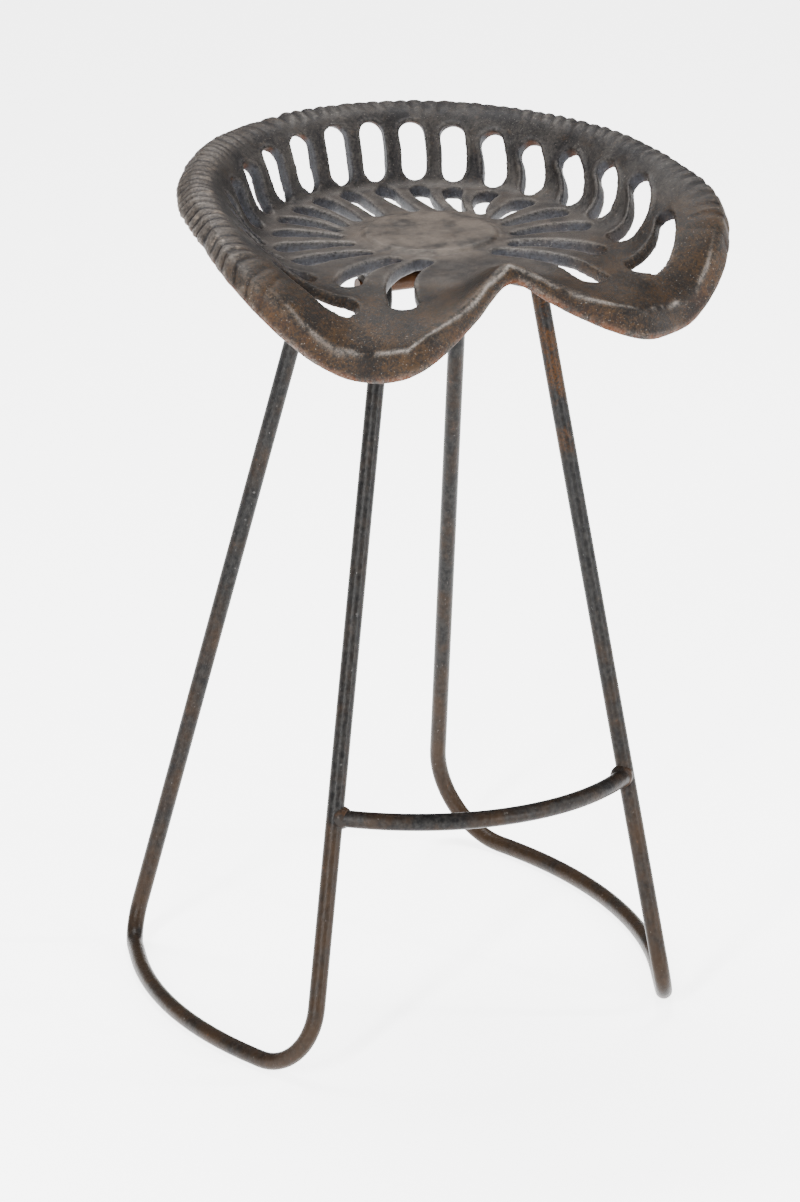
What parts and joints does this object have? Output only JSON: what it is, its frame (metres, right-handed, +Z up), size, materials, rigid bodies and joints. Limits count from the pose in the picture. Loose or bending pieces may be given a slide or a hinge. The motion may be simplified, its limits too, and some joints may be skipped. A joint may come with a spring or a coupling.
{
  "type": "tractor seat stool",
  "caption": "Bar stool with a pierced cast iron tractor seat on two bent round-rod leg loops joined by a curved footrest bar.",
  "frame": {"origin": "on the floor, under the middle of the stool's box", "axes": "+Z up, +Y towards the back of the seat, +X to the right seen from the front"},
  "size_m": [0.4596, 0.4742, 0.6967],
  "materials": {
    "cast_seat": "old cast iron, brown patina, rubbed bright on the high edges",
    "frame_rod": "darkened mild steel rod with light rust",
    "weld_bead": "rough rusty weld"
  },
  "bodies": {
    "root": {"seat_casting": "cast_seat", "left_leg_loop": "frame_rod", "right_leg_loop": "frame_rod", "footrest_bar": "frame_rod", "front_crossbar": "frame_rod", "rear_crossbar": "frame_rod", "footrest_weld_left": "weld_bead", "footrest_weld_right": "weld_bead", "front_crossbar_weld_left": "weld_bead", "front_crossbar_weld_right": "weld_bead", "rear_crossbar_weld_left": "weld_bead", "rear_crossbar_weld_right": "weld_bead", "left_rail_weld_front": "weld_bead", "left_rail_weld_rear": "weld_bead", "right_rail_weld_front": "weld_bead", "right_rail_weld_rear": "weld_bead", "left_loop_closing_weld": "weld_bead", "right_loop_closing_weld": "weld_bead"}
  },
  "joints": []
}
